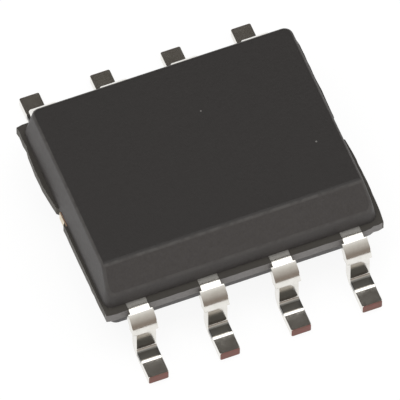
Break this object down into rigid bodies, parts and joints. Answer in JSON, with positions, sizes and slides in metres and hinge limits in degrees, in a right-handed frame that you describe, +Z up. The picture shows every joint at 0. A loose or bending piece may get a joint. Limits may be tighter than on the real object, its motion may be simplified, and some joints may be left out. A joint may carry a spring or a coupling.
{
  "type": "small-outline integrated circuit chip",
  "caption": "Moulded surface-mount chip package with gull-wing leads along both long sides and a bevelled edge that marks the first lead's side.",
  "frame": {"origin": "centre of the package on the board's surface, under the moulding, in the plane of the undersides of the feet", "axes": "+X along the lead rows, from lead 1 to lead 4; +Y across the package, away from the bevelled side; +Z up from the board"},
  "size_m": [0.005, 0.006, 0.0016],
  "materials": {
    "moulding_epoxy": "matte, fine-grained",
    "tin_plate": "satin-bright tin plate, bare copper on the cut tips",
    "frame_copper": "bare copper alloy",
    "die_adhesive": "cured silver-filled adhesive",
    "silicon": "polished",
    "bond_gold": "drawn gold wire"
  },
  "bodies": {
    "root": {"mould_body": "moulding_epoxy", "lead_1": "tin_plate", "lead_2": "tin_plate", "lead_3": "tin_plate", "lead_4": "tin_plate", "lead_5": "tin_plate", "lead_6": "tin_plate", "lead_7": "tin_plate", "lead_8": "tin_plate", "die_paddle": "frame_copper", "die_attach": "die_adhesive", "silicon_die": "silicon", "bond_wire_1": "bond_gold", "bond_wire_2": "bond_gold", "bond_wire_3": "bond_gold", "bond_wire_4": "bond_gold", "bond_wire_5": "bond_gold", "bond_wire_6": "bond_gold", "bond_wire_7": "bond_gold", "bond_wire_8": "bond_gold"}
  },
  "joints": []
}
